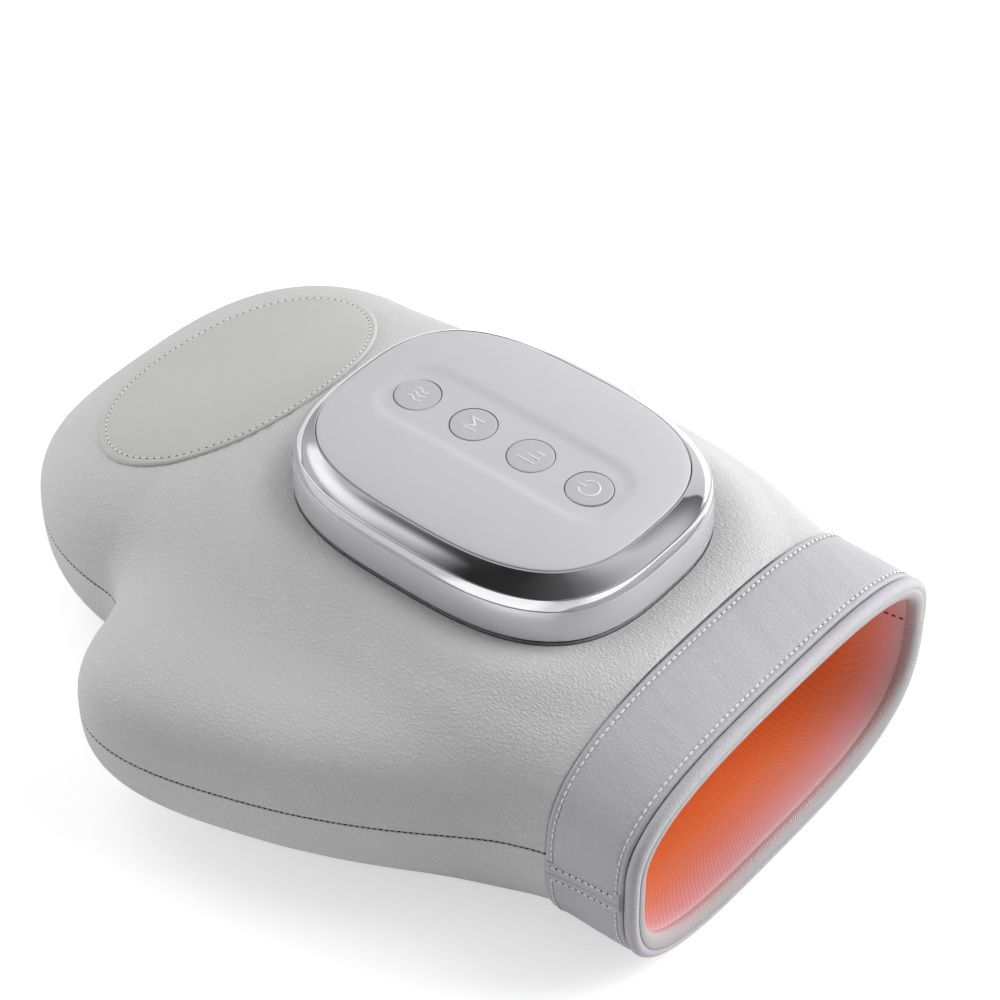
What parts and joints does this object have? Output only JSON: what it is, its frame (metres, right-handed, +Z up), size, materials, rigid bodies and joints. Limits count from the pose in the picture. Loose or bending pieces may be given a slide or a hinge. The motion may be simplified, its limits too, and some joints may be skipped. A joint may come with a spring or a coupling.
{
  "type": "hand massager",
  "caption": "Padded mitt hand massager with a heated cloth pocket, a leather cuff and a control console with push buttons on its back.",
  "frame": {"origin": "middle of the footprint on the surface that the mitt lies on", "axes": "+X from the fingertips to the wrist opening, +Y to the little finger's side, +Z up"},
  "size_m": [0.2688, 0.1986, 0.1057],
  "materials": {
    "cover_leather": "fine-grained, satin",
    "patch_leather": "fine-grained, matt",
    "cuff_leather": "fine-grained, satin",
    "facing_knit": "ribbed knit",
    "lining_cloth": "soft mesh cloth",
    "cushion_film": "welded film",
    "heating_film": "satin film",
    "foam": "open-cell foam",
    "black_plastic": "matt",
    "dark_rubber": "matt",
    "gloss_housing": "gloss",
    "chrome_trim": "mirror",
    "panel_plastic": "satin",
    "button_plastic": "satin",
    "board": "solder mask",
    "steel": "plain",
    "tray_plastic": "matt",
    "cell_wrap": "shrink wrap",
    "brass": "turned",
    "coil_wrap": "taped",
    "silicone_tube": "satin"
  },
  "bodies": {
    "root": {"upper_cover": "cover_leather", "lower_cover": "cover_leather", "finger_patch": "patch_leather", "cuff_band": "cuff_leather", "cuff_lip": "cuff_leather", "cuff_closing_strip": "cuff_leather", "mouth_facing": "facing_knit", "lining_upper": "lining_cloth", "lining_lower": "lining_cloth", "finger_cushion_upper": "cushion_film", "finger_cushion_lower": "cushion_film", "palm_cushion_upper": "cushion_film", "palm_cushion_lower": "cushion_film", "wrist_cushion_upper": "cushion_film", "wrist_cushion_lower": "cushion_film", "thumb_cushion_upper": "cushion_film", "thumb_cushion_lower": "cushion_film", "heating_film": "heating_film", "base_foam": "foam", "temperature_sensor": "black_plastic", "base_gasket": "dark_rubber", "base_housing": "gloss_housing", "chrome_trim": "chrome_trim", "top_panel": "panel_plastic", "heat_switch": "black_plastic", "mode_switch": "black_plastic", "pressure_switch": "black_plastic", "power_switch": "black_plastic", "control_board": "board", "charge_board": "board", "board_screw_1": "steel", "board_screw_2": "steel", "board_screw_3": "steel", "board_screw_4": "steel", "inner_tray": "tray_plastic", "clamp_screw_1": "steel", "clamp_screw_2": "steel", "clamp_screw_3": "steel", "clamp_screw_4": "steel", "battery_cell_1": "cell_wrap", "battery_cell_2": "cell_wrap", "pump_motor": "steel", "pump_head": "tray_plastic", "pump_cradle": "tray_plastic", "pump_hose": "silicone_tube", "air_manifold": "tray_plastic", "valve_coil_1": "coil_wrap", "valve_coil_2": "coil_wrap", "charging_socket": "steel"},
    "heat_button": {"heat_button": "button_plastic"},
    "mode_button": {"mode_button": "button_plastic"},
    "pressure_button": {"pressure_button": "button_plastic"},
    "power_button": {"power_button": "button_plastic"},
    "valve_plunger_1": {"valve_plunger_1": "steel"},
    "valve_plunger_2": {"valve_plunger_2": "steel"},
    "pump_crank": {"pump_crank": "brass"}
  },
  "joints": [
    {"name": "heat_press", "type": "slide", "parent": "root", "child": "heat_button", "axis": [0, 0, -1], "range_m": [0, 0.0005], "stiffness_N_per_m": 600},
    {"name": "mode_press", "type": "slide", "parent": "root", "child": "mode_button", "axis": [0, 0, -1], "range_m": [0, 0.0005], "stiffness_N_per_m": 600},
    {"name": "pressure_press", "type": "slide", "parent": "root", "child": "pressure_button", "axis": [0, 0, -1], "range_m": [0, 0.0005], "stiffness_N_per_m": 600},
    {"name": "power_press", "type": "slide", "parent": "root", "child": "power_button", "axis": [0, 0, -1], "range_m": [0, 0.0005], "stiffness_N_per_m": 600},
    {"name": "valve_1_pull", "type": "slide", "parent": "root", "child": "valve_plunger_1", "axis": [0, 0, -1], "range_m": [0, 0.0008], "stiffness_N_per_m": 300},
    {"name": "valve_2_pull", "type": "slide", "parent": "root", "child": "valve_plunger_2", "axis": [0, 0, -1], "range_m": [0, 0.0008], "stiffness_N_per_m": 300},
    {"name": "pump_turn", "type": "hinge", "parent": "root", "child": "pump_crank", "pos_m": [0.0226, 0.03676, 0.0785], "axis": [1, 0, 0], "continuous": true}
  ]
}
